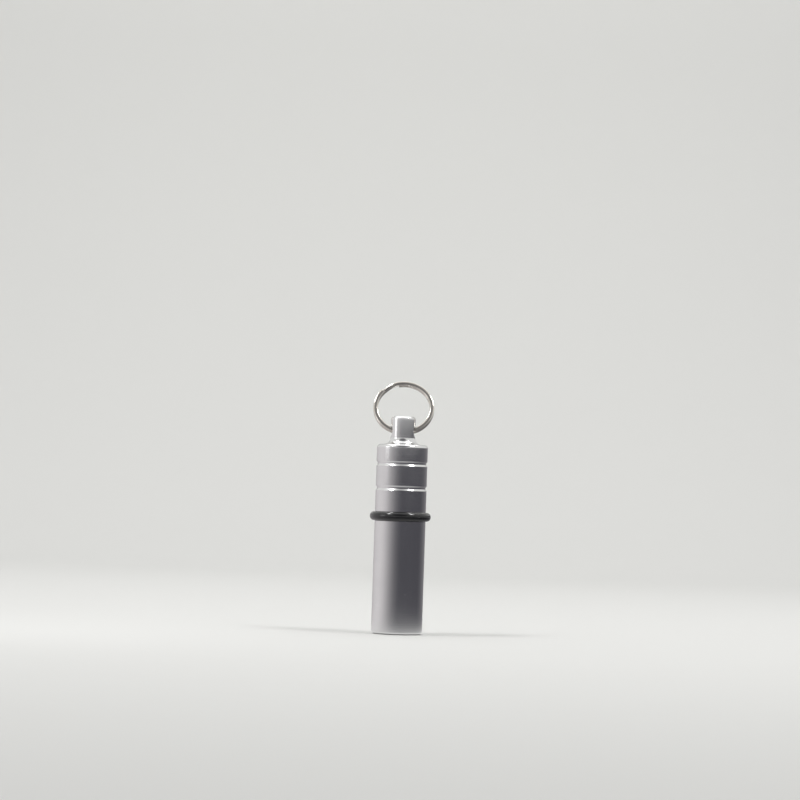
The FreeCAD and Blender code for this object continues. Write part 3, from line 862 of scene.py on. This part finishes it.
class PILLFOB_OT_set_stage(bpy.types.Operator):
    """Set the floor and backdrop, the soft lamps, the walls, the card and the camera"""

    bl_idname = "pill_fob.set_stage"
    bl_label = "Set Stage"

    def paper(self, stage):
        """Matt paper for the floor and the backdrop: pale, with no gloss of its own."""
        material, tree = start_material("matt_paper")
        shader = add_node(tree, "ShaderNodeBsdfPrincipled", {
            "Base Color": stage.floor, "Roughness": 1.0, "Specular IOR Level": 0.0,
        })
        end_material(tree, shader)
        return material

    def floor(self, stage):
        """A floor all round, and behind the fob a sheet that curves up from it."""
        paper = self.paper(stage)
        bpy.ops.object.select_all(action="DESELECT")
        bpy.ops.mesh.primitive_circle_add(
            vertices=64, radius=stage.floor_reach, fill_type="NGON", location=(0, 0, 0),
        )
        floor = bpy.context.object
        floor.name = "pale_floor"
        floor.data.materials.append(paper)
        bpy.ops.object.select_all(action="DESELECT")
        bpy.ops.mesh.primitive_plane_add(
            size=2 * stage.sweep_width, location=(0, stage.sweep_start + stage.sweep_width, 0),
        )
        sweep = bpy.context.object
        sweep.name = "pale_backdrop"
        bpy.ops.object.transform_apply(location=True, rotation=True, scale=True)
        back = stage.sweep_start + stage.sweep_radius
        pick(sweep, lambda point: point.y > back)
        bpy.ops.transform.translate(value=(0, stage.sweep_radius - 2 * stage.sweep_width, 0))
        bpy.ops.mesh.extrude_region_move(TRANSFORM_OT_translate={"value": (0, 0, stage.sweep_height)})
        bpy.ops.object.mode_set(mode="OBJECT")
        pick(sweep, lambda point: abs(point.y - back) < MM and abs(point.z) < MM)
        bpy.ops.mesh.bevel(affect="EDGES", offset=stage.sweep_radius, segments=24)
        bpy.ops.mesh.select_all(action="SELECT")
        bpy.ops.mesh.remove_doubles(threshold=MM)
        bpy.ops.object.mode_set(mode="OBJECT")
        bpy.ops.object.shade_smooth()
        sweep.data.materials.append(paper)

    def card(self, stage):
        """A glowing card round the fob, which is no lamp and is seen only as a reflection in it: a painted
        reflection, pale at the fob's foot where the floor's shadow would show, and further out painted light
        on the left, painted shade on the right and a little lighter behind."""
        lift = 0.02 * MM
        lightest = (-0.985, 0.174, 0.0)
        # Cosine of the angle from its lightest side at which the card is darkest, and how its light rises
        dark_until, lightening = -0.5, 2.5
        back_light, back_lightening = 0.3, 2.0
        card = draw_line("painted_reflection_card", (
            (stage.card_foot, lift), (stage.card_radius, lift), (stage.card_radius, stage.card_height),
        ))
        turn_line(card)
        material, tree = start_material("painted_reflection_glow")
        coordinates = add_node(tree, "ShaderNodeTexCoord", {}).outputs["Object"]
        flat = add_node(
            tree, "ShaderNodeVectorMath", {0: coordinates, 1: (1, 1, 0)}, operation="MULTIPLY",
        )
        outward = add_node(tree, "ShaderNodeVectorMath", {0: flat.outputs[0]}, operation="NORMALIZE")
        side = add_node(
            tree, "ShaderNodeVectorMath", {0: outward.outputs[0], 1: lightest},
            operation="DOT_PRODUCT",
        )
        share = add_node(
            tree, "ShaderNodeMapRange", {"Value": side.outputs["Value"], "From Min": dark_until},
        )
        curve = add_node(tree, "ShaderNodeMath", {0: share.outputs[0], 1: lightening}, operation="POWER")
        back = add_node(tree, "ShaderNodeSeparateXYZ", {"Vector": outward.outputs[0]}).outputs["Y"]
        back = add_node(tree, "ShaderNodeMath", {0: back, 1: 0.0}, operation="MAXIMUM")
        back = add_node(
            tree, "ShaderNodeMath", {0: back.outputs[0], 1: back_lightening}, operation="POWER",
        )
        curve = add_node(
            tree, "ShaderNodeMath", {0: back.outputs[0], 1: back_light, 2: curve.outputs[0]},
            operation="MULTIPLY_ADD",
        )
        graded = add_node(
            tree, "ShaderNodeMix",
            {"Factor": curve.outputs[0], 6: stage.painted_dark_reflection, 7: stage.painted_light_reflection},
            data_type="RGBA",
        )
        reach = add_node(tree, "ShaderNodeVectorMath", {0: flat.outputs[0]}, operation="LENGTH")
        near = add_node(
            tree, "ShaderNodeMapRange",
            {"Value": reach.outputs["Value"], "From Min": stage.card_foot,
             "From Max": stage.card_radius, "To Min": 1.0, "To Max": 0.0},
        )
        pale = add_node(
            tree, "ShaderNodeMath", {0: near.outputs[0], 1: stage.card_fade}, operation="POWER",
        )
        mixed = add_node(
            tree, "ShaderNodeMix",
            {"Factor": pale.outputs[0], 6: graded.outputs[2], 7: stage.painted_pale_reflection},
            data_type="RGBA",
        )
        # The card's glow is a painted reflection: no camera sees it, it lights nothing and it casts no
        # shadow
        shader = add_node(tree, "ShaderNodeEmission", {"Color": mixed.outputs[2]})
        add_node(tree, "ShaderNodeOutputMaterial", {"Surface": shader.outputs[0]})
        card.data.materials.append(material)
        card.visible_camera = card.visible_diffuse = card.visible_shadow = False

    def lamp(self, name, spot, aim, size, power):
        """A soft lamp of a width and a height, that the camera doesn't see."""
        bpy.ops.object.light_add(type="AREA", location=spot)
        lamp = bpy.context.object
        lamp.name = name
        lamp.data.shape = "RECTANGLE"
        lamp.data.size, lamp.data.size_y = size
        lamp.data.energy = power
        lamp.rotation_euler = (Vector(aim) - Vector(spot)).to_track_quat("-Z", "Y").to_euler()
        lamp.visible_camera = False

    def world(self, stage):
        """Pale walls all round, and an unlit part of the room in front of the fob and above it."""
        world = bpy.data.worlds.new("pale_walls")
        bpy.context.scene.world = world
        world.use_nodes = True
        tree = world.node_tree
        tree.nodes.clear()
        path = add_node(tree, "ShaderNodeLightPath", {}).outputs
        towards = add_node(tree, "ShaderNodeTexCoord", {}).outputs["Generated"]
        near = add_node(
            tree, "ShaderNodeVectorMath", {0: towards, 1: stage.dim_aim}, operation="DOT_PRODUCT",
        )
        unlit = add_node(
            tree, "ShaderNodeMapRange",
            {"Value": near.outputs["Value"], "From Min": math.cos(stage.dim_outer),
             "From Max": math.cos(stage.dim_inner)},
            interpolation_type="SMOOTHSTEP",
        )
        unlit = add_node(
            tree, "ShaderNodeMath", {0: unlit.outputs[0], 1: path["Is Glossy Ray"]},
            operation="MULTIPLY",
        )
        room = add_node(
            tree, "ShaderNodeMix", {"Factor": unlit.outputs[0], 6: stage.walls_seen, 7: stage.dim},
            data_type="RGBA",
        )
        seen = add_node(
            tree, "ShaderNodeMath", {0: path["Is Camera Ray"], 1: path["Is Glossy Ray"]},
            operation="MAXIMUM",
        )
        shown = add_node(
            tree, "ShaderNodeMix", {"Factor": seen.outputs[0], 6: stage.walls, 7: room.outputs[2]},
            data_type="RGBA",
        )
        background = add_node(tree, "ShaderNodeBackground", {"Color": shown.outputs[2]})
        add_node(tree, "ShaderNodeOutputWorld", {"Surface": background.outputs[0]})

    def camera(self, stage):
        """The camera, at the angle from which the fob was photographed."""
        bpy.ops.object.camera_add(location=stage.camera)
        camera = bpy.context.object
        camera.data.sensor_width = 36
        camera.data.lens = camera.data.sensor_width * stage.focal_pixels / IMAGE_SIDE
        camera.data.clip_start = 10 * MM
        camera.data.clip_end = 10
        level = Matrix.Rotation(math.pi / 2, 3, "X")
        tilt = Matrix.Rotation(-stage.yaw, 3, "Z") @ level @ Matrix.Rotation(stage.pitch, 3, "X")
        camera.rotation_euler = (tilt @ Matrix.Rotation(stage.roll, 3, "Z")).to_euler()
        bpy.context.scene.camera = camera

    def execute(self, context):
        stage = context.scene.pill_fob.stage
        self.floor(stage)
        middle = (0.0, 0.0, 22 * MM)
        backdrop = (0.0, stage.sweep_start + stage.sweep_radius, 120 * MM)
        self.lamp("lamp_top_left", (-200 * MM, -60 * MM, 400 * MM), middle, (70 * MM, 70 * MM), 0.42)
        self.lamp("lamp_top_right", (205 * MM, -60 * MM, 400 * MM), middle, (80 * MM, 80 * MM), 0.44)
        self.lamp("lamp_overhead", (0.0, 60 * MM, 600 * MM), middle, (420 * MM, 320 * MM), 0.33)
        self.lamp("lamp_backdrop", (0.0, 180 * MM, 480 * MM), backdrop, (700 * MM, 120 * MM), 0.7)
        self.lamp("lamp_strip", (-95 * MM, -34 * MM, 56 * MM), middle, (36 * MM, 34 * MM), 0.0058)
        self.card(stage)
        self.world(stage)
        self.camera(stage)
        context.scene.view_settings.view_transform = "Standard"
        return {"FINISHED"}


class PILLFOB_PT_panel(bpy.types.Panel):
    """The steps that make the fob, in order"""

    bl_idname = "PILLFOB_PT_panel"
    bl_label = "Pill Fob"
    bl_space_type = "VIEW_3D"
    bl_region_type = "UI"
    bl_category = "Pill Fob"

    def draw(self, context):
        for step in STEPS:
            self.layout.operator(step.bl_idname)


STEPS = (
    PILLFOB_OT_turn_vial,
    PILLFOB_OT_turn_cap,
    PILLFOB_OT_mould_seal,
    PILLFOB_OT_wind_ring,
    PILLFOB_OT_set_stage,
)
GROUPS = (
    PILLFOB_PG_thread,
    PILLFOB_PG_vial,
    PILLFOB_PG_cap,
    PILLFOB_PG_seal,
    PILLFOB_PG_ring,
    PILLFOB_PG_finish,
    PILLFOB_PG_stage,
    PILLFOB_PG_settings,
)
CLASSES = (*GROUPS, *STEPS, PILLFOB_PT_panel)


def register():
    for item in CLASSES:
        bpy.utils.register_class(item)
    bpy.types.Scene.pill_fob = bpy.props.PointerProperty(type=PILLFOB_PG_settings)


def unregister():
    del bpy.types.Scene.pill_fob
    for item in reversed(CLASSES):
        bpy.utils.unregister_class(item)


def main():
    register()
    bpy.ops.pill_fob.turn_vial()
    bpy.ops.pill_fob.turn_cap()
    bpy.ops.pill_fob.mould_seal()
    bpy.ops.pill_fob.wind_ring()
    bpy.ops.pill_fob.set_stage()


if __name__ == "__main__":
    main()
